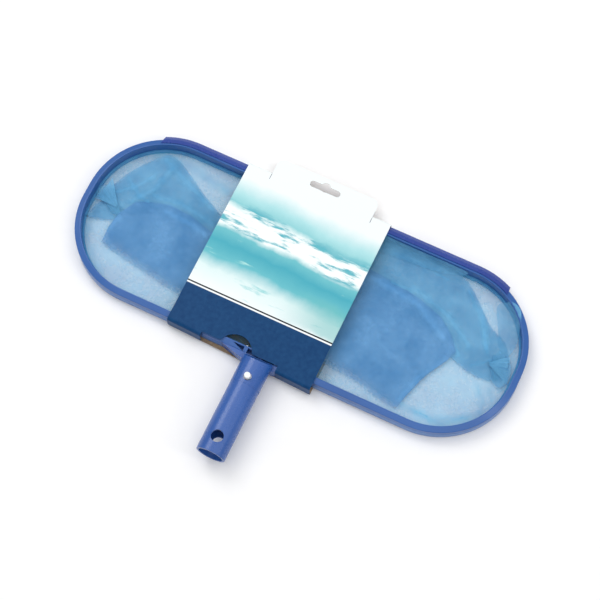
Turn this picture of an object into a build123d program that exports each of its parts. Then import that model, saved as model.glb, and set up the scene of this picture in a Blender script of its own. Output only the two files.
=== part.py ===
from build123d import *
import os

# Leaf skimmer net: a flat hoop that carries a mesh bag, a pole socket with a snap clip,
# and the printed card sleeve that it is sold in. Millimetres.
# Origin: centre of the handle's open mouth. +X along the hoop, +Y from the mouth to the
# scooping lip, +Z the side that the bag opens to.

# Driving dimensions of the hoop. Cutting shapes reach cut_past beyond the faces they cut.
hoop_length = 457.0
hoop_width = 172.0
hoop_height = 17.0
corner_radius = 79.0
rail_width = 6.4
ledge_width = 1.8
mouth_to_hoop_centre = 190.0
handle_axis_height = 19.5
cut_past = 1.0

# Rail section, heights above the hoop's underside
parting_height = 4.8
slot_half_height = 0.25
outer_top_height = 14.8
rail_rounding = 0.9
seam_chamfer = 0.5
lap_height = 9.6
lap_width = 1.9
lap_gap = 0.1

# Net: hem cord, hem and bag
cord_inset = 4.2
cord_radius = 1.0
channel_radius = 1.45
hem_outer_radius = 1.35
hem_thickness = 0.4
hem_reach = 8.6
bag_wall = 1.0
bag_floor_bottom = 0.6
bag_floor_top = 1.8
fold_thickness = 2.4

# The bag's slack, folded flat on its floor: plan outlines from the hoop's centre
left_fold = ((-192, -44), (-100, -58), (-100, 34), (-162, 62), (-205, 18))
left_second_fold = ((-100, 18), (-100, 36), (-162, 62), (-196, 34), (-180, 12))
right_fold = ((134, -62), (80, -40), (80, 50), (160, 58), (198, 30), (163, -6))

# Scooping lip
lip_proud = 4.1
lip_overlap = 4.4
lip_thickness = 0.9
lip_half_length = 184.0
lip_bottom = 3.0
lip_undercut = 4.0
lip_outer_top = 12.8
lip_rounding = 1.0
lip_clearance = 0.05

# Handle socket
tube_radius = 14.5
tube_shoulder_radius = 14.7
spigot_length = 72.0
bore_radius = 12.1
bore_depth = 91.0
mouth_rounding = 0.4
ramp_top_from_mouth = 96.4
ramp_foot_from_mouth = 103.5
cross_hole_radius = 6.0
cross_hole_from_mouth = 15.8
bracket_half_width = 40.0
bracket_reach = 6.7
bracket_bottom = 2.0
bracket_top = 15.2
bracket_gap = 0.05
pocket_floor = 7.6
pocket_depth = 4.8
pocket_rib = 3.6
pocket_reach = 30.0
bracket_wall = 6.0
middle_pocket_depth = 4.8
middle_rib_half_width = 2.0

# Snap clip
button_from_mouth = 78.8
button_radius = 3.15
button_proud = 4.5
button_dome = 1.2
button_hole_radius = 3.85
clip_width = 8.0
strip_thickness = 0.8
leg_outer_height = 11.0
bend_end_from_mouth = 39.0
leg_gap = 0.5
leg_length = 49.0

# Bracket screws, driven from inside the hoop through the ribs between the pockets
screw_height = 11.6
screw_shank_radius = 1.3
screw_head_radius = 2.4
screw_head_height = 1.5
screw_head_rounding = 0.7
screw_length = 10.6
screw_hole_clearance = 0.1

# Card sleeve
card_thickness = 0.5
card_left = -96.5
card_right = 55.5
card_gap_over = 0.6
card_gap_under = 0.2
card_near = 91.2
card_skew = 1.96
card_skew_from = 45.0
card_far = 91.3
card_bend_radius = 3.5
tab_width = 107.0
tab_reach = 107.5
tab_corner = 7.0
tab_offset = 2.5
tab_window_margin = 0.5
tab_window_bottom = 0.4
tab_window_depth = 16.0
hang_slot_length = 32.0
hang_slot_width = 6.4
hang_bump_radius = 5.0
hang_bump_offset = 1.2
hang_slot_reach = 96.8
near_cut_left = -61.0
near_cut_right = 18.6
near_cut_inset = 0.3
near_cut_length = 20.0
near_cut_bottom = 1.4
arc_cut_x = -25.0
arc_cut_radius = 17.2
arc_cut_top = 73.4

# Worked-out sizes
half_width = hoop_width / 2
straight_half = hoop_length / 2 - corner_radius
end_straight_half = half_width - corner_radius
rail_inside = half_width - rail_width
to_part_frame = Location((0, mouth_to_hoop_centre, -handle_axis_height))
near_wall_y = -half_width
card_top = hoop_height + card_gap_over
leg_pivot_from_mouth = bend_end_from_mouth + leg_gap
screw_x = tube_radius + pocket_rib / 2


def polygon(*points):
    return make_face(Polyline(*points, close=True))


def around_hoop(section):
    """Carry a section round the whole hoop. It is drawn upward and outward from the middle line."""
    far_run = extrude(Plane.YZ.offset(-straight_half) * section, amount=2 * straight_half)
    axis = Axis((straight_half, end_straight_half, 0), (0, 0, -1))
    corner = revolve(Plane.YZ.offset(straight_half) * section, axis=axis, revolution_arc=90)
    end_plane = Plane(
        origin=((hoop_length - hoop_width) / 2, end_straight_half, 0),
        x_dir=(1, 0, 0),
        z_dir=(0, -1, 0),
    )
    end_run = extrude(end_plane * section, amount=2 * end_straight_half)
    half = far_run + corner + end_run + corner.mirror(Plane.XZ)
    return half + half.rotate(Axis.Z, 180)


def hoop_plate(inset, bottom, top):
    """Solid plate with the hoop's outline, drawn in by the inset."""
    length = hoop_length - 2 * inset
    outline = RectangleRounded(length, hoop_width - 2 * inset, corner_radius - inset)
    return Pos(0, 0, bottom) * extrude(outline, amount=top - bottom)


def hem_slot():
    """The gap between the rails, with the round channel that holds the hem cord."""
    inner = rail_inside - ledge_width - cut_past
    outer = half_width - cord_inset
    slot = polygon(
        (inner, parting_height - slot_half_height),
        (outer, parting_height - slot_half_height),
        (outer, parting_height + slot_half_height),
        (inner, parting_height + slot_half_height),
    )
    return slot + Pos(outer, parting_height) * Circle(channel_radius)


def pocket_tool():
    """Open-topped pockets between the rail and the bracket's sloping walls."""
    rail_side = near_wall_y + pocket_depth
    rib_x = tube_radius + pocket_rib
    slope = bracket_reach / (bracket_half_width - tube_radius)
    bracket_side = near_wall_y - bracket_reach + bracket_wall + slope * pocket_rib
    side = polygon((pocket_reach, rail_side), (rib_x, rail_side), (rib_x, bracket_side))
    middle_place = Pos((tube_radius + middle_rib_half_width) / 2, rail_side - middle_pocket_depth / 2)
    middle = middle_place * Rectangle(tube_radius - middle_rib_half_width, middle_pocket_depth)
    depth = hoop_height + cut_past - pocket_floor
    one_side = Pos(0, 0, pocket_floor) * extrude(side + middle, amount=depth)
    return one_side + one_side.mirror(Plane.YZ)


def screw_holes(radius):
    """Holes from inside the hoop to just past the screws' tips."""
    holes = Part()
    length = cut_past + screw_length + screw_hole_clearance
    for x in (-screw_x, screw_x):
        start = Plane(origin=(x, near_wall_y + rail_width + cut_past, screw_height), z_dir=(0, -1, 0))
        holes += extrude(start * Circle(radius), amount=length)
    return holes


def bevel_seam(section):
    """Bevel the outer corner where the two rails meet, so that the seam is a fine groove."""
    corner = section.vertices().sort_by_distance((half_width, lap_height, 0))[0]
    return chamfer(corner, seam_chamfer)


def make_upper_rail():
    """Top moulding. Its outer wall stands on the lap that rises from the lower rail."""
    lap_face = half_width - lap_width - lap_gap
    section = polygon(
        (rail_inside, parting_height),
        (lap_face, parting_height),
        (lap_face, lap_height),
        (half_width, lap_height),
        (half_width, outer_top_height),
        (rail_inside, hoop_height),
    )
    top_corners = section.vertices().sort_by(Axis.Y)[-2:]
    section = bevel_seam(fillet(top_corners, rail_rounding))
    rail = around_hoop(section - hem_slot())
    return rail - pocket_tool() - screw_holes(screw_shank_radius + screw_hole_clearance)


def make_lower_rail():
    """Clamp ring with the ledge inside, and the lap that the upper rail snaps over."""
    ledge_edge = rail_inside - ledge_width
    section = polygon(
        (ledge_edge, 0),
        (half_width, 0),
        (half_width, lap_height),
        (half_width - lap_width, lap_height),
        (half_width - lap_width, parting_height),
        (ledge_edge, parting_height),
    )
    section = bevel_seam(fillet(section.vertices().group_by(Axis.Y)[0], rail_rounding))
    return around_hoop(section - hem_slot()) - pocket_tool()


def make_hem_cord():
    return around_hoop(Pos(half_width - cord_inset, parting_height) * Circle(cord_radius))


def make_net_hem():
    """The mesh wraps round the cord and comes out between the rails onto the ledge."""
    centre = Pos(half_width - cord_inset, parting_height)
    wrap = centre * Circle(hem_outer_radius)
    inner = half_width - hem_reach
    outer = half_width - cord_inset
    low = parting_height - hem_thickness / 2
    high = parting_height + hem_thickness / 2
    flap = polygon((inner, low), (outer, low), (outer, high), (inner, high))
    return around_hoop(wrap + flap - centre * Circle(cord_radius))


def make_net_bag():
    """Shallow open-topped bag, with its slack folded flat in two stacks on its floor."""
    rim = parting_height + hem_thickness / 2
    bag = hoop_plate(hem_reach, bag_floor_bottom, rim)
    bag -= hoop_plate(hem_reach + bag_wall, bag_floor_top, rim)
    folds = polygon(*left_fold) + polygon(*right_fold)
    bag += Pos(0, 0, bag_floor_top) * extrude(folds, amount=fold_thickness)
    second_level = bag_floor_top + fold_thickness
    bag += Pos(0, 0, second_level) * extrude(polygon(*left_second_fold), amount=fold_thickness)
    return bag


def make_scoop_lip():
    """Strip over the rail's far outer edge. Its ends are cut to a slant."""
    inner = half_width - lip_overlap
    outer = half_width + lip_proud
    slope = (hoop_height - outer_top_height) / rail_width
    lift = outer_top_height + lip_clearance
    inner_low = lift + slope * lip_overlap
    section = polygon(
        (half_width + lip_clearance, lip_bottom),
        (half_width + lip_clearance, lift),
        (inner, inner_low),
        (inner, inner_low + lip_thickness),
        (half_width, lift + lip_thickness),
        (outer, lip_outer_top),
        (outer, lip_bottom + lip_undercut),
    )
    nose = section.vertices().sort_by_distance((outer, lip_outer_top, 0))[0]
    ring = around_hoop(fillet(nose, lip_rounding))
    far_half = polygon(
        (-lip_half_length, outer + cut_past),
        (-lip_half_length - lip_proud, 0),
        (lip_half_length + lip_proud, 0),
        (lip_half_length, outer + cut_past),
    )
    return ring & extrude(far_half, amount=2 * hoop_height)


def bracket_outline():
    """Plan of the bracket: widest at the rail, narrowing to the tube."""
    wall = near_wall_y - bracket_gap
    nose = near_wall_y - bracket_reach
    return polygon(
        (-bracket_half_width, wall),
        (-tube_radius, nose),
        (tube_radius, nose),
        (bracket_half_width, wall),
    )


def make_handle_socket():
    to_hoop = to_part_frame.inverse()
    mouth_plane = Plane(origin=(0, 0, 0), x_dir=(1, 0, 0), z_dir=(0, 1, 0))
    wall_from_mouth = mouth_to_hoop_centre + near_wall_y - bracket_gap
    tube = extrude(mouth_plane * Circle(tube_radius), amount=wall_from_mouth)
    tube = fillet(tube.edges().sort_by(Axis.Y)[0], mouth_rounding)
    shoulder_length = wall_from_mouth - spigot_length
    shoulder = extrude(mouth_plane.offset(spigot_length) * Circle(tube_shoulder_radius), shoulder_length)
    body = tube + shoulder
    ramp = Plane.YZ.offset(-tube_radius * 2) * polygon(
        (ramp_top_from_mouth, tube_radius + cut_past),
        (wall_from_mouth + cut_past, tube_radius + cut_past),
        (wall_from_mouth + cut_past, bracket_top - handle_axis_height),
        (ramp_foot_from_mouth, bracket_top - handle_axis_height),
    )
    body -= extrude(ramp, amount=tube_radius * 4)
    bracket = Pos(0, 0, bracket_bottom) * extrude(bracket_outline(), amount=bracket_top - bracket_bottom)
    body += to_part_frame * bracket
    body -= extrude(mouth_plane * Circle(bore_radius), amount=bore_depth)
    body -= Pos(0, cross_hole_from_mouth, 0) * Cylinder(cross_hole_radius, tube_radius * 3)
    body -= Pos(0, button_from_mouth, 0) * Cylinder(button_hole_radius, tube_radius * 3)
    body -= to_part_frame * pocket_tool()
    body -= to_part_frame * screw_holes(screw_shank_radius)
    return to_hoop * body


def make_bracket_screws():
    screws = Part()
    head_seat = near_wall_y + rail_width
    for x in (-screw_x, screw_x):
        seat = Plane(origin=(x, head_seat, screw_height), x_dir=(1, 0, 0), z_dir=(0, -1, 0))
        shank = extrude(seat * Circle(screw_shank_radius), amount=screw_length)
        head = extrude(seat * Circle(screw_head_radius), amount=-screw_head_height)
        head = fillet(head.edges().sort_by(Axis.Y)[-1], screw_head_rounding)
        screws += shank + head
    return screws


def make_clip_bend():
    """The clip's half-round bend, which rests against the bore and joins its two legs."""
    outer = leg_outer_height
    ring = Circle(outer) - Circle(outer - strip_thickness)
    half = ring & Pos(-outer / 2, 0) * Rectangle(outer, 2 * outer)
    place = Plane(origin=(-clip_width / 2, bend_end_from_mouth, 0), x_dir=(0, 1, 0), z_dir=(1, 0, 0))
    return extrude(place * half, amount=clip_width)


def make_clip_leg():
    centre = Location((0, leg_pivot_from_mouth + leg_length / 2, leg_outer_height - strip_thickness / 2))
    return centre * Box(clip_width, leg_length, strip_thickness)


def make_clip_button():
    height = tube_radius + button_proud - leg_outer_height
    button = Pos(0, button_from_mouth, leg_outer_height) * extrude(Circle(button_radius), amount=height)
    return fillet(button.edges().sort_by(Axis.Z)[-1], button_dome)


def card_profile(grow):
    """Closed outline of the sleeve across the hoop, grown outward by up to the card's thickness."""
    bottom = -card_gap_under - grow
    top = card_top + grow
    far = card_far - card_thickness + grow
    near = -card_near + card_thickness - grow
    centre = Pos((far + near) / 2, (top + bottom) / 2)
    radius = card_bend_radius - card_thickness + grow
    return centre * RectangleRounded(far - near, top - bottom, radius)


def make_card_loop():
    """The closed loop of board. The bracket pushes its near fold slightly out of square."""
    width = card_right - card_left
    middle_x = (card_right + card_left) / 2
    span = 2 * hoop_length
    ring = card_profile(card_thickness) - card_profile(0)
    square = extrude(Plane.YZ * ring, amount=width / 2, both=True)
    skewed = extrude(Plane.YZ * ring, amount=width, both=True).rotate(Axis.Z, -card_skew)
    far_side = Pos(0, span / 2 - card_skew_from, 0) * Box(width, span, span)
    near_side = Pos(0, -span / 2 - card_skew_from, 0) * Box(width, span, span)
    return Pos(middle_x, 0, 0) * ((square & far_side) + (skewed & near_side))


def tab_outline():
    """The hanging tab, with its slot for a display hook."""
    foot = card_far - tab_window_depth / 2 - tab_window_margin
    tab = Pos(0, (foot + tab_reach) / 2) * Rectangle(tab_width, tab_reach - foot)
    tab = fillet(tab.vertices().group_by(Axis.Y)[-1], tab_corner)
    slot = Pos(0, hang_slot_reach) * SlotOverall(hang_slot_length, hang_slot_width)
    bump = Pos(0, hang_slot_reach + hang_bump_offset) * Circle(hang_bump_radius)
    return tab - slot - bump


def near_cut():
    """Cut-out in the sleeve's near wall and front that lets the bracket and handle through."""
    middle_x = (near_cut_right + near_cut_left) / 2
    middle_y = near_wall_y + near_cut_inset - near_cut_length / 2
    strip = Pos(middle_x, middle_y) * Rectangle(near_cut_right - near_cut_left, near_cut_length)
    arc = Pos(arc_cut_x, -arc_cut_top - arc_cut_radius) * Circle(arc_cut_radius)
    front = Pos(0, 0, card_top / 2) * extrude(strip + arc, amount=card_top)
    wall = Pos(0, 0, near_cut_bottom) * extrude(strip, amount=card_top)
    return front + wall


def make_card_sleeve():
    """One sheet of board wrapped round the hoop, with a hanging tab cut from its far wall."""
    tab_x = (card_left + card_right) / 2 + tab_offset
    window_plan = Rectangle(tab_width + 2 * tab_window_margin, tab_window_depth)
    window = extrude(window_plan, amount=card_top + card_thickness - tab_window_bottom)
    tab = Pos(tab_x, 0, card_top) * extrude(tab_outline(), amount=card_thickness)
    sleeve = make_card_loop() - Pos(tab_x, card_far, tab_window_bottom) * window
    return sleeve + tab - near_cut()


def make_parts():
    """Every piece in the part's frame, by name."""
    hoop_pieces = {
        "hoop_upper_rail": make_upper_rail(),
        "hoop_lower_rail": make_lower_rail(),
        "scoop_lip": make_scoop_lip(),
        "hem_cord": make_hem_cord(),
        "net_hem": make_net_hem(),
        "net_bag": make_net_bag(),
        "handle_socket": make_handle_socket(),
        "bracket_screws": make_bracket_screws(),
        "card_sleeve": make_card_sleeve(),
    }
    pieces = {name: to_part_frame * piece for name, piece in hoop_pieces.items()}
    pieces["clip_bend"] = make_clip_bend()
    pieces["clip_leg_upper"] = make_clip_leg()
    pieces["clip_leg_lower"] = make_clip_leg().rotate(Axis.Y, 180)
    pieces["clip_button_upper"] = make_clip_button()
    pieces["clip_button_lower"] = make_clip_button().rotate(Axis.Y, 180)
    return pieces


os.makedirs("parts", exist_ok=True)
for name, piece in make_parts().items():
    export_step(piece, f"parts/{name}.step")
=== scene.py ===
import math

import bpy
import numpy as np
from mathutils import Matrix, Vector
from mathutils.geometry import delaunay_2d_cdt


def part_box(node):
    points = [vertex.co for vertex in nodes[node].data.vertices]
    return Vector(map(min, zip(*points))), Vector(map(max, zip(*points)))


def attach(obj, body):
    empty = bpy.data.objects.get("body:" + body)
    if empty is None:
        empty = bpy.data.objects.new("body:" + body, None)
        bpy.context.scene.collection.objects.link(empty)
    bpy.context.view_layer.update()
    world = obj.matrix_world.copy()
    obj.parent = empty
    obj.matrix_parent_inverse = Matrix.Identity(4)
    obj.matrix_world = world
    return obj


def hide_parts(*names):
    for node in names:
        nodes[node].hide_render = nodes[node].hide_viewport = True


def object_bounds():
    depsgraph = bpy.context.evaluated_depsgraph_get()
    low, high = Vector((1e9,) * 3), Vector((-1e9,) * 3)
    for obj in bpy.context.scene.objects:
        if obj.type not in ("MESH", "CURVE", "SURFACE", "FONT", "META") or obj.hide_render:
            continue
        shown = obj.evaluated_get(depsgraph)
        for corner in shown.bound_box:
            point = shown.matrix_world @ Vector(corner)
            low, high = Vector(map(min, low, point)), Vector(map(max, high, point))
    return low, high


# Leaf skimmer net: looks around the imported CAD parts. Metres, in the part's own frame.
# Outlines on the net are in millimetres from the hoop's centre and its underside.

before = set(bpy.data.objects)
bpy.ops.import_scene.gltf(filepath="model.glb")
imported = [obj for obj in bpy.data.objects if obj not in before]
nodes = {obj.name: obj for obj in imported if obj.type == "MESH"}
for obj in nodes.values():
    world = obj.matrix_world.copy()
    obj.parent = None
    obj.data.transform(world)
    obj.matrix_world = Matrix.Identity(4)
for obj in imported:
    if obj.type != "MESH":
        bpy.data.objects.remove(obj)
cad_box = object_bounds()

# Places taken from the frame
rail_low, rail_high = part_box("hoop_upper_rail")
under_low, under_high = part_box("hoop_lower_rail")
card_low, card_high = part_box("card_sleeve")
hoop_centre = (under_low + under_high) / 2
underside = under_low.z
floor_height = cad_box[0].z
MM = 0.001
half_length = (rail_high.x - rail_low.x) / 2 / MM
half_width = (rail_high.y - rail_low.y) / 2 / MM

# Sizes of the hoop and its net in millimetres
corner_radius = 79.0
rail_width = 6.4
hem_reach = 8.6
hem_height = 4.8
bag_floor = 1.5
hem_slope = 9.0
outline_step = 3.0


def at(x, y, z=0.0):
    """A point in millimetres from the hoop's centre and underside, in metres."""
    return Vector((hoop_centre.x + x * MM, hoop_centre.y + y * MM, underside + z * MM))


# ---------------------------------------------------------------- material helpers

def new_material(name):
    material = bpy.data.materials.new(name)
    material.use_nodes = True
    tree = material.node_tree
    return material, tree, tree.nodes["Principled BSDF"]


def node(tree, kind, **values):
    made = tree.nodes.new(kind)
    for key, value in values.items():
        setattr(made, key, value)
    return made


def object_place(tree, scale=1.0):
    """Object coordinates, scaled alike on every axis."""
    coordinates = node(tree, "ShaderNodeTexCoord")
    mapping = node(tree, "ShaderNodeMapping")
    mapping.inputs["Scale"].default_value = (scale, scale, scale)
    tree.links.new(coordinates.outputs["Object"], mapping.inputs["Vector"])
    return mapping.outputs["Vector"]


def noise(tree, scale, detail=3.0, roughness=0.55, place=None):
    made = node(tree, "ShaderNodeTexNoise")
    made.inputs["Scale"].default_value = scale
    made.inputs["Detail"].default_value = detail
    made.inputs["Roughness"].default_value = roughness
    tree.links.new(place or object_place(tree), made.inputs["Vector"])
    return made.outputs["Fac"]


def ramp(tree, factor, stops):
    """Colour ramp from a list of (position, colour)."""
    made = node(tree, "ShaderNodeValToRGB")
    elements = made.color_ramp.elements
    for index, (position, colour) in enumerate(stops):
        element = elements[index] if index < 2 else elements.new(position)
        element.position = position
        element.color = (*colour, 1.0) if len(colour) == 3 else colour
    tree.links.new(factor, made.inputs["Fac"])
    return made.outputs["Color"]


def remap(tree, value, low, high):
    """Move a 0 to 1 value onto low to high."""
    made = node(tree, "ShaderNodeMapRange")
    made.inputs["To Min"].default_value = low
    made.inputs["To Max"].default_value = high
    tree.links.new(value, made.inputs["Value"])
    return made.outputs["Result"]


def math_node(tree, operation, first, second=None):
    made = node(tree, "ShaderNodeMath", operation=operation)
    for slot_index, value in enumerate((first, second)):
        if value is None:
            continue
        if isinstance(value, (int, float)):
            made.inputs[slot_index].default_value = value
        else:
            tree.links.new(value, made.inputs[slot_index])
    return made.outputs["Value"]


def mix_colour(tree, factor, first, second):
    """Mix two colours; each is a socket or an (r, g, b)."""
    made = node(tree, "ShaderNodeMix", data_type="RGBA")
    if isinstance(factor, float):
        made.inputs["Factor"].default_value = factor
    else:
        tree.links.new(factor, made.inputs["Factor"])
    for name, value in (("A", first), ("B", second)):
        socket = [s for s in made.inputs if s.name == name and s.type == "RGBA"][0]
        if isinstance(value, tuple):
            socket.default_value = (*value, 1.0)
        else:
            tree.links.new(value, socket)
    return [s for s in made.outputs if s.type == "RGBA"][0]


def bump(tree, shader, height, distance, strength=1.0):
    made = node(tree, "ShaderNodeBump")
    made.inputs["Strength"].default_value = strength
    made.inputs["Distance"].default_value = distance
    tree.links.new(height, made.inputs["Height"])
    tree.links.new(made.outputs["Normal"], shader.inputs["Normal"])


def split_axes(tree, place):
    made = node(tree, "ShaderNodeSeparateXYZ")
    tree.links.new(place, made.inputs["Vector"])
    return made.outputs["X"], made.outputs["Y"], made.outputs["Z"]


# ---------------------------------------------------------------- materials

def moulded_plastic(name, dark, light, roughness=0.3, grain=900.0):
    """Injection-moulded plastic: faint flow marks, fine grain and slight wear in the gloss."""
    material, tree, shader = new_material(name)
    flow = noise(tree, 14.0, 4.0, 0.6)
    fine = noise(tree, grain, 2.0)
    tree.links.new(ramp(tree, flow, [(0.3, dark), (0.72, light)]), shader.inputs["Base Color"])
    handled = noise(tree, 70.0, 6.0, 0.7)
    tree.links.new(remap(tree, handled, roughness - 0.07, roughness + 0.1), shader.inputs["Roughness"])
    shader.inputs["Specular IOR Level"].default_value = 0.45
    shader.inputs["Coat Weight"].default_value = 0.12
    shader.inputs["Coat Roughness"].default_value = 0.22
    bump(tree, shader, fine, 0.00004, 0.5)
    return material


def spring_strip():
    """Rolled stainless strip: fine brushing along the handle."""
    material, tree, shader = new_material("stainless_strip")
    coordinates = node(tree, "ShaderNodeTexCoord")
    stretch = node(tree, "ShaderNodeMapping")
    stretch.inputs["Scale"].default_value = (6000.0, 60.0, 6000.0)
    tree.links.new(coordinates.outputs["Object"], stretch.inputs["Vector"])
    lines = noise(tree, 1.0, 2.0, 0.5, stretch.outputs["Vector"])
    tone = ramp(tree, lines, [(0.3, (0.5, 0.51, 0.53)), (0.7, (0.72, 0.73, 0.75))])
    tree.links.new(tone, shader.inputs["Base Color"])
    tree.links.new(remap(tree, lines, 0.25, 0.42), shader.inputs["Roughness"])
    shader.inputs["Metallic"].default_value = 1.0
    bump(tree, shader, lines, 0.00002, 0.4)
    return material


def screw_steel():
    """Turned stainless with a mottled, slightly stained finish."""
    material, tree, shader = new_material("screw_steel")
    mottle = noise(tree, 500.0, 5.0, 0.6)
    tone = ramp(tree, mottle, [(0.35, (0.45, 0.46, 0.48)), (0.7, (0.7, 0.71, 0.73))])
    tree.links.new(tone, shader.inputs["Base Color"])
    tree.links.new(remap(tree, mottle, 0.22, 0.42), shader.inputs["Roughness"])
    shader.inputs["Metallic"].default_value = 1.0
    bump(tree, shader, mottle, 0.00003, 0.4)
    return material


def white_acetal():
    material, tree, shader = new_material("button_acetal")
    cloudy = noise(tree, 260.0, 4.0)
    tone = ramp(tree, cloudy, [(0.3, (0.84, 0.86, 0.88)), (0.7, (0.93, 0.94, 0.95))])
    tree.links.new(tone, shader.inputs["Base Color"])
    tree.links.new(remap(tree, cloudy, 0.2, 0.34), shader.inputs["Roughness"])
    shader.inputs["Subsurface Weight"].default_value = 0.08
    shader.inputs["Subsurface Scale"].default_value = 0.001
    bump(tree, shader, cloudy, 0.00003, 0.3)
    return material


def braided_cord():
    material, tree, shader = new_material("hem_cord")
    wave = node(tree, "ShaderNodeTexWave", wave_type="BANDS", bands_direction="DIAGONAL")
    wave.inputs["Scale"].default_value = 260.0
    wave.inputs["Distortion"].default_value = 1.2
    tree.links.new(object_place(tree), wave.inputs["Vector"])
    tone = ramp(tree, wave.outputs["Fac"], [(0.1, (0.05, 0.14, 0.36)), (0.9, (0.16, 0.36, 0.66))])
    tree.links.new(tone, shader.inputs["Base Color"])
    shader.inputs["Roughness"].default_value = 0.75
    shader.inputs["Sheen Weight"].default_value = 0.3
    bump(tree, shader, wave.outputs["Fac"], 0.0002, 0.7)
    return material


def mesh_threads(tree, pitch, share):
    """1 on the threads of a square mesh of the given pitch, 0 in its holes."""
    x, y, _ = split_axes(tree, object_place(tree, 1.0 / pitch))
    drift = remap(tree, noise(tree, 60.0, 2.0), -0.6, 0.6)
    lines = []
    for axis in (math_node(tree, "ADD", x, drift), math_node(tree, "SUBTRACT", y, drift)):
        across = math_node(tree, "PINGPONG", axis, 0.5)
        lines.append(math_node(tree, "LESS_THAN", across, share / 2))
    return math_node(tree, "MAXIMUM", lines[0], lines[1])


def net_cloth(name, cover, dark, light, pitch=0.0009):
    """Fine knitted mesh. Cover is the share of light it stops; gathered cloth stops more."""
    material, tree, shader = new_material(name)
    threads = mesh_threads(tree, pitch, 0.34)
    broad = noise(tree, 45.0, 5.0, 0.65)
    tree.links.new(ramp(tree, broad, [(0.35, dark), (0.65, light)]), shader.inputs["Base Color"])
    weave = remap(tree, threads, cover * 0.78, min(1.0, cover * 1.4))
    cloudy = remap(tree, noise(tree, 220.0, 4.0, 0.55), -0.1, 0.1)
    gather = node(tree, "ShaderNodeAttribute", attribute_name="gather")
    gathered = math_node(tree, "MULTIPLY", gather.outputs["Fac"], 0.4)
    held = math_node(tree, "ADD", math_node(tree, "ADD", weave, cloudy), gathered)
    clamp = node(tree, "ShaderNodeClamp")
    tree.links.new(held, clamp.inputs["Value"])
    tree.links.new(clamp.outputs["Result"], shader.inputs["Alpha"])
    shader.inputs["Roughness"].default_value = 0.7
    shader.inputs["Specular IOR Level"].default_value = 0.15
    shader.inputs["Sheen Weight"].default_value = 0.15
    shader.inputs["Sheen Roughness"].default_value = 0.45
    bump(tree, shader, threads, 0.00012, 0.35)
    return material


def band(tree, value, low, high, soft):
    """1 between low and high, with soft edges."""
    rising = node(tree, "ShaderNodeMapRange", interpolation_type="SMOOTHSTEP")
    rising.inputs["From Min"].default_value = low - soft
    rising.inputs["From Max"].default_value = low + soft
    falling = node(tree, "ShaderNodeMapRange", interpolation_type="SMOOTHSTEP")
    falling.inputs["From Min"].default_value = high - soft
    falling.inputs["From Max"].default_value = high + soft
    for made in (rising, falling):
        tree.links.new(value, made.inputs["Value"])
    inverse = math_node(tree, "SUBTRACT", 1.0, falling.outputs["Result"])
    return math_node(tree, "MULTIPLY", rising.outputs["Result"], inverse)


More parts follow.
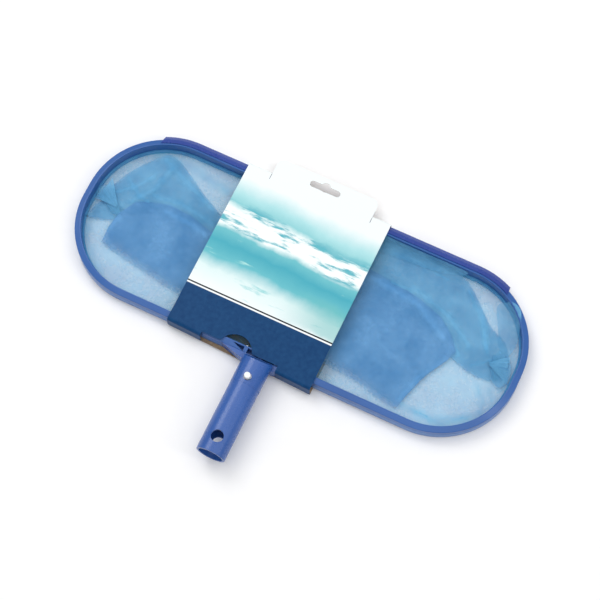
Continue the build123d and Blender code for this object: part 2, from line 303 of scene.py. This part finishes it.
def printed_card():
    """Coated board: a sea picture over a navy band outside, plain kraft inside."""
    material, tree, shader = new_material("printed_card")
    x, y, _ = split_axes(tree, object_place(tree, 1000.0))
    centre_y = hoop_centre.y * 1000.0
    across = math_node(tree, "SUBTRACT", y, centre_y)
    swell = remap(tree, noise(tree, 13.0, 5.0, 0.6), -13.0, 13.0)
    tilt = math_node(tree, "MULTIPLY", math_node(tree, "ADD", x, 20.0), 0.05)
    wavy = math_node(tree, "ADD", math_node(tree, "ADD", across, swell), tilt)

    white = (0.86, 0.92, 0.93)
    foam = (0.9, 0.96, 0.95)
    haze = (0.28, 0.62, 0.66)
    teal = (0.07, 0.4, 0.5)
    picture_low, picture_high = -45.0, 100.0
    place = node(tree, "ShaderNodeMapRange")
    place.inputs["From Min"].default_value = picture_low
    place.inputs["From Max"].default_value = picture_high
    tree.links.new(wavy, place.inputs["Value"])

    def stop(height):
        return (height - picture_low) / (picture_high - picture_low)

    sky = ramp(tree, place.outputs["Result"], [
        (stop(-43), white), (stop(-26), (0.72, 0.87, 0.87)), (stop(-12), (0.14, 0.5, 0.57)),
        (stop(4), teal), (stop(15), (0.16, 0.52, 0.58)), (stop(21), foam), (stop(38), foam),
        (stop(45), haze), (stop(54), (0.42, 0.73, 0.76)), (stop(72), white),
    ])
    streak_place = node(tree, "ShaderNodeMapping")
    streak_place.inputs["Scale"].default_value = (0.018, 0.085, 0.05)
    streak_place.inputs["Rotation"].default_value = (0.0, 0.0, math.radians(-5))
    tree.links.new(object_place(tree, 1000.0), streak_place.inputs["Vector"])
    streaks = noise(tree, 1.0, 6.0, 0.62, streak_place.outputs["Vector"])
    crest = band(tree, wavy, 17.0, 45.0, 4.0)
    patch = math_node(tree, "MULTIPLY", crest, ramp_value(tree, streaks, 0.5, 0.6))
    picture = mix_colour(tree, patch, sky, (0.12, 0.46, 0.54))
    lower = band(tree, wavy, -42.0, -12.0, 6.0)
    glints = math_node(tree, "MULTIPLY", lower, ramp_value(tree, streaks, 0.56, 0.7))
    picture = mix_colour(tree, glints, picture, (0.3, 0.66, 0.68))
    shimmer = math_node(tree, "MULTIPLY", band(tree, wavy, -14.0, 16.0, 4.0),
                        ramp_value(tree, streaks, 0.62, 0.72))
    picture = mix_colour(tree, shimmer, picture, (0.42, 0.75, 0.72))

    depth = math_node(tree, "MULTIPLY", band(tree, wavy, -42.0, -8.0, 5.0), ramp_value(tree, x, -15.0, 50.0))
    picture = mix_colour(tree, math_node(tree, "MULTIPLY", depth, 0.6), picture, (0.16, 0.5, 0.5))

    # Straight edges of the print: a black rule, a white rule and the navy band
    navy_wear = noise(tree, 240.0, 3.0)
    navy = ramp(tree, navy_wear, [(0.3, (0.003, 0.044, 0.145)), (0.72, (0.008, 0.062, 0.18))])
    rule = band(tree, across, -44.7, -43.2, 0.15)
    printed = mix_colour(tree, rule, picture, (0.01, 0.012, 0.016))
    pale_rule = band(tree, across, -46.3, -44.7, 0.15)
    printed = mix_colour(tree, pale_rule, printed, (0.9, 0.93, 0.94))
    navy_area = band(tree, across, -200.0, -46.3, 0.15)
    printed = mix_colour(tree, navy_area, printed, navy)

    fibres = noise(tree, 420.0, 5.0, 0.7)
    kraft = ramp(tree, fibres, [(0.3, (0.36, 0.25, 0.15)), (0.72, (0.55, 0.41, 0.27))])
    inside = inner_side(tree)
    tree.links.new(mix_colour(tree, inside, printed, kraft), shader.inputs["Base Color"])
    gloss = remap(tree, noise(tree, 180.0, 4.0), 0.28, 0.4)
    board = math_node(tree, "MAXIMUM", gloss, math_node(tree, "MULTIPLY", inside, 0.8))
    tree.links.new(board, shader.inputs["Roughness"])
    shader.inputs["Specular IOR Level"].default_value = 0.1
    bump(tree, shader, fibres, 0.00005, 0.35)
    return material


def ramp_value(tree, value, low, high):
    """0 below low, 1 above high, smooth between."""
    made = node(tree, "ShaderNodeMapRange", interpolation_type="SMOOTHSTEP")
    made.inputs["From Min"].default_value = low
    made.inputs["From Max"].default_value = high
    tree.links.new(value, made.inputs["Value"])
    return made.outputs["Result"]


def inner_side(tree):
    """1 on the faces of the board that look into the loop, 0 on those that look out."""
    coordinates = node(tree, "ShaderNodeTexCoord")
    _, y, z = split_axes(tree, coordinates.outputs["Object"])
    _, normal_y, normal_z = split_axes(tree, coordinates.outputs["Normal"])
    middle_z = (card_low.z + card_high.z) / 2
    inward_y = math_node(tree, "MULTIPLY", math_node(tree, "SUBTRACT", hoop_centre.y, y), normal_y)
    inward_z = math_node(tree, "MULTIPLY", math_node(tree, "SUBTRACT", middle_z, z), normal_z)
    inward = math_node(tree, "ADD", inward_y, math_node(tree, "MULTIPLY", inward_z, 10.0))
    return math_node(tree, "GREATER_THAN", inward, 0.01)


# ---------------------------------------------------------------- net shape

def smooth_outline(points, step=2.0):
    """Even points, about step apart, on a closed Catmull-Rom curve through the given points (mm)."""
    points = [np.array(p, float) for p in points]
    count = len(points)
    found = []
    for index in range(count):
        p0, p1, p2, p3 = (points[(index + k) % count] for k in (-1, 0, 1, 2))
        pieces = max(2, int(np.linalg.norm(p2 - p1) / step))
        for t in np.arange(pieces) / pieces:
            found.append(0.5 * (2 * p1 + (p2 - p0) * t + (2 * p0 - 5 * p1 + 4 * p2 - p3) * t ** 2
                                + (3 * p1 - p0 - 3 * p2 + p3) * t ** 3))
    return found


def straight_outline(points, step=2.0):
    """Even points along the straight sides of a closed outline (mm), its corners kept."""
    found = []
    for first, second in zip(points, points[1:] + points[:1]):
        first, second = np.array(first, float), np.array(second, float)
        pieces = max(1, int(np.linalg.norm(second - first) / step))
        found += [first + (second - first) * k / pieces for k in range(pieces)]
    return found


def net_depth(x, y):
    """How far a point (mm) is inside the net's outer edge; less than 0 is outside."""
    past_x = np.abs(x) - (half_length - corner_radius)
    past_y = np.abs(y) - (half_width - corner_radius)
    beyond = np.hypot(np.maximum(past_x, 0), np.maximum(past_y, 0))
    within = np.minimum(np.maximum(past_x, past_y), 0)
    return corner_radius - hem_reach - beyond - within


def hoop_outline(inset):
    """Points (mm) round the hoop's outline, drawn in by the inset."""
    radius = corner_radius - inset
    corners = []
    for quarter, (side_x, side_y) in enumerate(((1, 1), (-1, 1), (-1, -1), (1, -1))):
        for angle in np.linspace(90 * quarter, 90 * quarter + 90, 31):
            turn = math.radians(angle)
            x = side_x * (half_length - corner_radius) + radius * math.cos(turn)
            y = side_y * (half_width - corner_radius) + radius * math.sin(turn)
            corners.append((x, y))
    return straight_outline(corners, outline_step)


def ripple(x, y, seed):
    """Soft, smooth unevenness of loose cloth, between about -1 and 1."""
    random = np.random.default_rng(seed)
    total = np.zeros_like(np.asarray(x, float))
    for size in (90.0, 55.0, 33.0, 19.0):
        angle, phase = random.uniform(0, math.pi), random.uniform(0, 2 * math.pi)
        total += np.sin((x * math.cos(angle) + y * math.sin(angle)) * 2 * math.pi / size + phase)
    return total / 4


def distance_to_line(x, y, line):
    """Distance in mm from points to a polyline."""
    best = np.full(np.shape(x), 1e9)
    for (ax, ay), (bx, by) in zip(line, line[1:]):
        dx, dy = bx - ax, by - ay
        t = np.clip(((x - ax) * dx + (y - ay) * dy) / (dx * dx + dy * dy), 0, 1)
        best = np.minimum(best, np.hypot(x - ax - t * dx, y - ay - t * dy))
    return best


def crease_height(x, y, creases):
    """Sum of ridges; each crease is (points, height, half width)."""
    total = np.zeros(np.shape(x))
    for line, height, width in creases:
        total += height * np.exp(-(distance_to_line(x, y, line) / width) ** 2)
    return total


def filled_sheet(outline, step=3.0):
    """Points and triangles that fill a closed outline (mm) with an even grid."""
    outline = [np.asarray(p, float)[:2] for p in outline]
    low = np.min(outline, axis=0)
    high = np.max(outline, axis=0)
    row_step = step * 0.87
    inner = []
    for row, y in enumerate(np.arange(low[1] + step / 2, high[1], row_step)):
        for x in np.arange(low[0] + step / 2 * (1 + row % 2), high[0], step):
            inner.append((x, y))
    inner = np.array(inner)
    closed = outline + [outline[0]]
    apart = distance_to_line(inner[:, 0], inner[:, 1], [tuple(p) for p in closed])
    inner = [tuple(p) for p, d in zip(inner, apart) if d > step * 0.5 and inside_outline(p, outline)]
    points = [Vector(p) for p in outline] + [Vector(p) for p in inner]
    count = len(outline)
    edges = [(k, (k + 1) % count) for k in range(count)]
    made = delaunay_2d_cdt(points, edges, [], 1, 1e-6)
    return np.array([tuple(p) for p in made[0]]), [tuple(f) for f in made[2]]


def inside_outline(point, outline):
    """Whether a point is inside a closed outline: it is if a ray from it crosses an odd number of sides."""
    x, y = point
    inside = False
    for (ax, ay), (bx, by) in zip(outline, outline[1:] + outline[:1]):
        if (ay > y) != (by > y) and x < (bx - ax) * (y - ay) / (by - ay) + ax:
            inside = not inside
    return inside


def mesh_piece(name, sheets, materials):
    """One object from sheets of (points, faces, material index).

    A point is x, y and height in mm, and how far the cloth is gathered there. Below 0 it thins."""
    mesh = bpy.data.meshes.new(name)
    vertices, gathers, faces, indices = [], [], [], []
    for points, polygons, material_index in sheets:
        offset = len(vertices)
        vertices += [tuple(at(*p[:3])) for p in points]
        gathers += [float(p[3]) for p in points]
        faces += [tuple(offset + k for k in polygon) for polygon in polygons]
        indices += [material_index] * len(polygons)
    mesh.from_pydata(vertices, [], faces)
    for material in materials:
        mesh.materials.append(material)
    mesh.polygons.foreach_set("material_index", indices)
    mesh.polygons.foreach_set("use_smooth", [True] * len(faces))
    mesh.attributes.new("gather", "FLOAT", "POINT").data.foreach_set("value", gathers)
    mesh.set_sharp_from_angle(angle=math.radians(60))
    mesh.update()
    piece = bpy.data.objects.new(name, mesh)
    bpy.context.scene.collection.objects.link(piece)
    return piece


def gathered(x, y, creases, amount=0.6):
    """How far the cloth is gathered: most along its creases."""
    total = np.zeros(np.shape(x))
    for line, _, width in creases:
        total += amount * np.exp(-(distance_to_line(x, y, line) / width) ** 2)
    return np.clip(total, 0, 1)


# Creases and outlines of the cloth, in mm from the hoop's centre. The fold edges began as places
# picked in the photograph. A scratch program turned those into millimetres through the camera that
# was fitted to the hoop, and some of its figures stand here unchanged, most of all in left_dense.
# A crease is its points, its height (below 0 it is a furrow) and its half width.
base_creases = [
    ([(104, -58), (140, -66), (168, -67), (196, -52)], 1.4, 3.0),
    ([(150, -64), (178, -68), (207, -42)], -0.9, 2.5),
    ([(196, -20), (205, -30), (209, -46), (196, -60)], 1.6, 2.2),
    ([(206, -16), (216, -30), (214, -44)], 1.5, 2.0),
    ([(-214, -30), (-206, -52), (-180, -70)], 0.9, 3.5),
    ([(-186, 66), (-150, 68), (-104, 60)], 0.9, 4.0),
]


def base_floor(x, y):
    """The single layer without its creases: from the hem down onto the bag's floor, in mm."""
    down = np.clip(net_depth(x, y) / hem_slope, 0, 1)
    down = down * down * (3 - 2 * down)
    return hem_height * (1 - down) + bag_floor * down


def base_sheet():
    """The single layer of the bag, out to the hem."""
    points, faces = filled_sheet(hoop_outline(hem_reach))
    x, y = points.T
    slack = np.clip(net_depth(x, y) / hem_slope, 0, 1)
    heights = base_floor(x, y) + slack * (0.35 * ripple(x, y, 4) + crease_height(x, y, base_creases))
    return np.column_stack([points, heights, gathered(x, y, base_creases, 0.25)]), faces


def fold_layer(outline, level, thickness, seed, creases=(), loose_edge=None):
    """One folded stack: a top and a bottom sheet that turn into each other at the fold edge.

    The cloth thins out toward its loose edge, where the layers under it end at different places."""
    grid, rounded_edge, hem_edge, loose_run = 2.4, 3.0, 1.6, 9.0
    points, faces = filled_sheet(outline, grid)
    x, y = points.T
    edge = distance_to_line(x, y, [tuple(p) for p in outline + [outline[0]]])
    full = np.clip(edge / rounded_edge, 0, 1) ** 0.5
    middle = base_floor(x, y) + level
    uneven = 0.3 * ripple(x, y, seed) + crease_height(x, y, creases)
    top = middle + full * (thickness + np.maximum(uneven, -thickness))
    bottom = middle - 0.1 * full
    thinned = 0.4 * np.exp(-(edge / hem_edge) ** 2)
    if loose_edge:
        thinned += 1.1 * np.exp(-(distance_to_line(x, y, loose_edge) / loose_run) ** 2)
    count = len(points)
    upper = np.column_stack([x, y, top, gathered(x, y, creases) - thinned])
    lower = np.column_stack([x, y, bottom, -thinned])
    on_edge = set(np.flatnonzero(edge < 1e-4))
    match = {k: k if k in on_edge else count + k for k in range(count)}
    under = [face for face in faces if not on_edge.issuperset(face)]
    turned = [tuple(match[k] for k in reversed(face)) for face in under]
    return np.vstack([upper, lower]), faces + turned


left_dense = [
    (-192, -8), (-194, -24), (-193, -41), (-181, -45), (-157, -49), (-133, -53), (-98, -59),
    (-60, -60), (-60, 12), (-104, 15), (-128, 21), (-150, 22), (-169, 17), (-182, 11),
]
left_flap = [
    (-213, 6), (-208, 24), (-200, 41), (-189, 56), (-176, 69), (-162, 68), (-147, 60), (-131, 50),
    (-116, 42), (-98, 33), (-60, 15), (-60, -4), (-104, 6), (-150, 10), (-186, -4),
]
left_wedge = [(-219, -25), (-216, -8), (-211, 4), (-200, 3), (-186, -2), (-189, -14)]
left_tuft = [(-220, 1), (-219, 10), (-212, 16), (-203, 10), (-190, -6), (-196, -10), (-210, -3)]

right_dense = [
    (30, 44), (60, 45), (84, 43), (110, 38), (136, 30), (152, 18), (163, 4), (158, -9),
    (148, -27), (144, -37), (138, -57), (134, -73), (118, -71), (88, -64), (30, -58),
]
right_flap = [
    (30, 70), (60, 82), (89, 84), (119, 81), (140, 76), (156, 66), (170, 53), (184, 41),
    (202, 32), (214, 12), (208, -6), (188, -10), (163, -4), (140, 8), (100, 22), (30, 30),
]
right_lap = [(180, 63), (190, 68), (201, 65), (207, 54), (212, 34), (208, 18), (198, 26), (190, 42)]
right_drape = [(30, 64), (30, 79.2), (70, 79.2), (100, 79.2), (128, 79.2), (142, 78), (118, 71), (70, 67)]
left_loose_edge = [(-190, -43), (-157, -49), (-133, -53), (-98, -59)]
right_loose_edge = [(128, -72), (118, -71), (88, -64), (30, -58)]
right_tuft = [(196, 14), (206, 21), (216, 12), (219, -4), (213, -12), (204, -7)]


left_creases = [
    ([(-186, 10), (-172, 30), (-166, 56)], 0.9, 3.0),
    ([(-200, 30), (-182, 18), (-160, 14)], 0.8, 2.6),
    ([(-176, 64), (-150, 52), (-110, 36)], 0.5, 3.5),
    ([(-205, 12), (-190, 24), (-178, 44)], 0.7, 2.2),
    ([(-168, 24), (-140, 28), (-104, 22)], 0.6, 3.5),
]
right_creases = [
    ([(70, 40), (108, 44), (142, 34), (172, 14)], 1.0, 3.2),
    ([(70, 32), (110, 36), (144, 22), (166, 2)], -0.8, 3.0),
    ([(164, 62), (178, 40), (190, 16)], 0.9, 2.8),
    ([(150, 66), (172, 44), (186, 20)], -0.6, 2.6),
    ([(58, 76), (92, 78), (122, 74)], 0.9, 1.6),
    ([(58, 70), (92, 72), (126, 68)], -0.6, 1.8),
    ([(182, -2), (196, 10), (204, 24)], 0.8, 2.2),
]
dense_creases = [
    ([(-190, -10), (-196, -36), (-180, -42)], 0.5, 3.0),
    ([(-150, 14), (-120, 12), (-104, 8)], 0.7, 3.0),
    ([(134, -64), (142, -36), (158, -8)], 0.5, 3.0),
    ([(60, 38), (110, 32), (146, 12)], 0.6, 3.5),
]


def pleats(first, second, waist, seed):
    """A gathered tuft: narrow cloth tongues (mm) fanned out from a waist to the rim."""
    tongues, rows, rise, tongue_half_width = 6, 9, 1.5, 3.2
    sides = (-1.0, -0.4, 0.4, 1.0)
    random = np.random.default_rng(seed)
    first, second, waist = (np.array(p, float) for p in (first, second, waist))
    across = (second - first)[:2] / np.linalg.norm((second - first)[:2])
    faces = [
        (4 * row + col, 4 * row + col + 1, 4 * row + col + 5, 4 * row + col + 4)
        for row in range(rows - 1)
        for col in range(3)
    ]
    sheets = []
    for index in range(tongues):
        tip = first + (second - first) * (index + 0.5) / tongues + random.normal(0, 0.7, 3)
        half = tongue_half_width * random.uniform(0.7, 1.3)
        points = []
        for row in range(rows):
            s = row / (rows - 1)
            x, y, z = waist + (tip - waist) * s
            z += rise * math.sin(math.pi * s)
            for side in sides:
                fold = (1.0 - abs(side)) * rise * s
                edge = across * half * side * (0.35 + 0.65 * s)
                points.append((x + edge[0], y + edge[1], z + fold, 0.6 * abs(side)))
        sheets.append((np.array(points), faces))
    return sheets


def make_net(materials):
    """The mesh bag as it is packed: one layer from the hem, and its slack folded in two stacks."""
    single, folded, dense = range(3)
    low, high, tuft_level = 0.5, 1.6, 2.2
    ring_top = (rail_high.z - underside) / MM + 0.4
    left_stack = fold_layer(straight_outline(left_dense), high, 0.5, 12, dense_creases, left_loose_edge)
    right_stack = fold_layer(straight_outline(right_dense), high, 0.5, 22, dense_creases, right_loose_edge)
    sheets = [
        (*base_sheet(), single),
        (*fold_layer(smooth_outline(left_flap), low, 0.5, 11, left_creases), folded),
        (*left_stack, dense),
        (*fold_layer(straight_outline(left_wedge), 0.4, 0.3, 13), folded),
        (*fold_layer(smooth_outline(left_tuft), tuft_level, 1.0, 14), folded),
        (*fold_layer(smooth_outline(right_flap), low, 0.5, 21, right_creases), folded),
        (*right_stack, dense),
        (*fold_layer(smooth_outline(right_tuft), tuft_level, 1.0, 24), folded),
    ]
    tongues = pleats((-213, 21, 6), (-219, -2, 5), (-196, -2, 5), 31)
    tongues += pleats((211, 19, 6), (219, -6, 5), (196, 6, 5), 32)
    sheets += [(*tongue, folded) for tongue in tongues]
    sheets.append((*lap_layer(right_lap, 0.5, 4.0, ring_top), folded))
    sheets.append((*lap_layer(right_drape, 2.0, 4.0, 13.5), folded))
    return mesh_piece("mesh_bag", sheets, materials)


def lap_layer(outline, start, run, top):
    """Cloth that climbs the rail's inner wall to a height, starting at a depth inside the hem."""
    clear_of_folds = 2.0
    points, faces = filled_sheet(smooth_outline(outline), 2.0)
    x, y = points.T
    climb = np.clip((start - net_depth(x, y)) / run, 0, 1)
    climb = climb * climb * (3 - 2 * climb)
    low = base_floor(x, y) + clear_of_folds
    heights = low * (1 - climb) + top * climb + 0.3 * ripple(3 * x, 3 * y, 41)
    return np.column_stack([points, heights, 0.5 * climb]), faces


# ---------------------------------------------------------------- hem

def make_hem(material):
    """The short flap of doubled mesh that shows on the ledge between the rails."""
    outer = rail_width - 0.6
    inner = hem_reach - 0.15
    half_thickness = 0.2
    profile = [
        (outer, half_thickness), (outer + 1.0, half_thickness), (inner - 0.4, half_thickness + 0.1),
        (inner, 0.0), (inner - 0.4, -half_thickness), (outer, -half_thickness),
    ]
    rings = []
    for inset, rise in profile:
        x, y = np.array(hoop_outline(inset)).T
        height = hem_height + rise + 0.05 * ripple(3 * x, 3 * y, 9)
        rings.append(np.column_stack([x, y, height, np.zeros(len(x))]))
    count = len(rings[0])
    faces = []
    for ring in range(len(rings)):
        start = ring * count
        following = (ring + 1) % len(rings) * count
        for k in range(count):
            j = (k + 1) % count
            faces.append((start + k, following + k, following + j, start + j))
    return mesh_piece("mesh_hem", [(np.vstack(rings), faces, 0)], [material])


# ---------------------------------------------------------------- put it together

def assign(name, material):
    for slot_holder in nodes[name].material_slots:
        slot_holder.material = material


def dress_cad():
    navy_plastic = moulded_plastic("hoop_plastic", (0.022, 0.1, 0.34), (0.032, 0.125, 0.4))
    # Lower rail: the hoop's plastic tinted lighter; the extra lightness is painted light for its low outer
    # band and up-facing ledge.
    painted_lit_hoop_plastic = moulded_plastic("hoop_plastic_light", (0.05, 0.16, 0.44), (0.075, 0.21, 0.52))
    # Scoop lip: a darker copy of the hoop plastic; the darkness is painted shade for the lip band that faces
    # away from the light.
    lip_plastic = moulded_plastic("lip_plastic", (0.018, 0.048, 0.27), (0.028, 0.068, 0.33), 0.26)
    socket_plastic = moulded_plastic("socket_plastic", (0.02, 0.085, 0.33), (0.03, 0.115, 0.41), 0.26)
    steel = spring_strip()
    acetal = white_acetal()
    assign("hoop_upper_rail", navy_plastic)
    assign("hoop_lower_rail", painted_lit_hoop_plastic)
    assign("scoop_lip", lip_plastic)
    assign("handle_socket", socket_plastic)
    assign("bracket_screws", screw_steel())
    assign("hem_cord", braided_cord())
    for name in ("clip_bend", "clip_leg_upper", "clip_leg_lower"):
        assign(name, steel)
    for name in ("clip_button_upper", "clip_button_lower"):
        assign(name, acetal)
    assign("card_sleeve", printed_card())


def make_soft_goods():
    single = net_cloth("net_single", 0.34, (0.015, 0.31, 0.6), (0.05, 0.46, 0.76))
    folded = net_cloth("net_folded", 0.36, (0.1, 0.37, 0.66), (0.2, 0.53, 0.82))
    dense = net_cloth("net_dense", 0.54, (0.1, 0.31, 0.62), (0.17, 0.42, 0.75))
    bag = make_net([single, folded, dense])
    hem = make_hem(net_cloth("net_hem", 0.75, (0.06, 0.26, 0.54), (0.1, 0.36, 0.66)))
    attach(bag, "frame")
    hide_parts("net_bag")
    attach(hem, "frame")
    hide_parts("net_hem")


def make_floor():
    size, gap = 6.0, 0.0001
    mesh = bpy.data.meshes.new("floor")
    corners = [(-size, -size), (size, -size), (size, size), (-size, size)]
    mesh.from_pydata([(x, y, floor_height - gap) for x, y in corners], [], [(0, 1, 2, 3)])
    floor = bpy.data.objects.new("floor", mesh)
    bpy.context.scene.collection.objects.link(floor)
    material, tree, shader = new_material("floor")
    paper = noise(tree, 40.0, 3.0)
    tree.links.new(ramp(tree, paper, [(0.3, (0.94, 0.94, 0.945)), (0.7, (0.96, 0.96, 0.965))]),
                   shader.inputs["Base Color"])
    shader.inputs["Roughness"].default_value = 0.9
    shader.inputs["Specular IOR Level"].default_value = 0.1
    mesh.materials.append(material)


def area_light(name, place, target, size, power, colour=(1.0, 1.0, 1.0)):
    data = bpy.data.lights.new(name, "AREA")
    data.shape = "RECTANGLE"
    data.size, data.size_y = size
    data.energy = power
    data.color = colour
    light = bpy.data.objects.new(name, data)
    light.location = place
    light.rotation_euler = (target - Vector(place)).to_track_quat("-Z", "Y").to_euler()
    bpy.context.scene.collection.objects.link(light)


def make_lights():
    target = Vector(hoop_centre)
    area_light("key", (-1.3, 0.75, 1.9), target, (1.2, 1.2), 17.0)
    area_light("strip", (1.5, 0.25, 1.35), target, (0.25, 1.6), 5.5)
    area_light("overhead", (0.1, 0.2, 2.6), target, (2.6, 2.6), 24.0)
    world = bpy.data.worlds.new("studio")
    world.use_nodes = True
    world.node_tree.nodes["Background"].inputs["Color"].default_value = (1.0, 1.0, 1.0, 1.0)
    world.node_tree.nodes["Background"].inputs["Strength"].default_value = 0.54
    bpy.context.scene.world = world
    bpy.context.scene.view_settings.view_transform = "Standard"


def make_camera():
    """The photograph's viewpoint: azimuth 25.5 degrees, elevation 70 degrees, 1.7 m away."""
    azimuth, elevation, distance = math.radians(25.466), math.radians(70.0), 1.7
    aim = at(6.36, -11.37)
    back = Vector((
        math.sin(azimuth) * math.cos(elevation),
        -math.cos(azimuth) * math.cos(elevation),
        math.sin(elevation),
    ))
    data = bpy.data.cameras.new("camera")
    data.sensor_width = 36.0
    data.lens = 106.2
    camera = bpy.data.objects.new("camera", data)
    camera.location = aim + back * distance
    camera.rotation_euler = (-back).to_track_quat("-Z", "Y").to_euler()
    bpy.context.scene.collection.objects.link(camera)
    bpy.context.scene.camera = camera


dress_cad()
make_soft_goods()
make_floor()
make_lights()
make_camera()
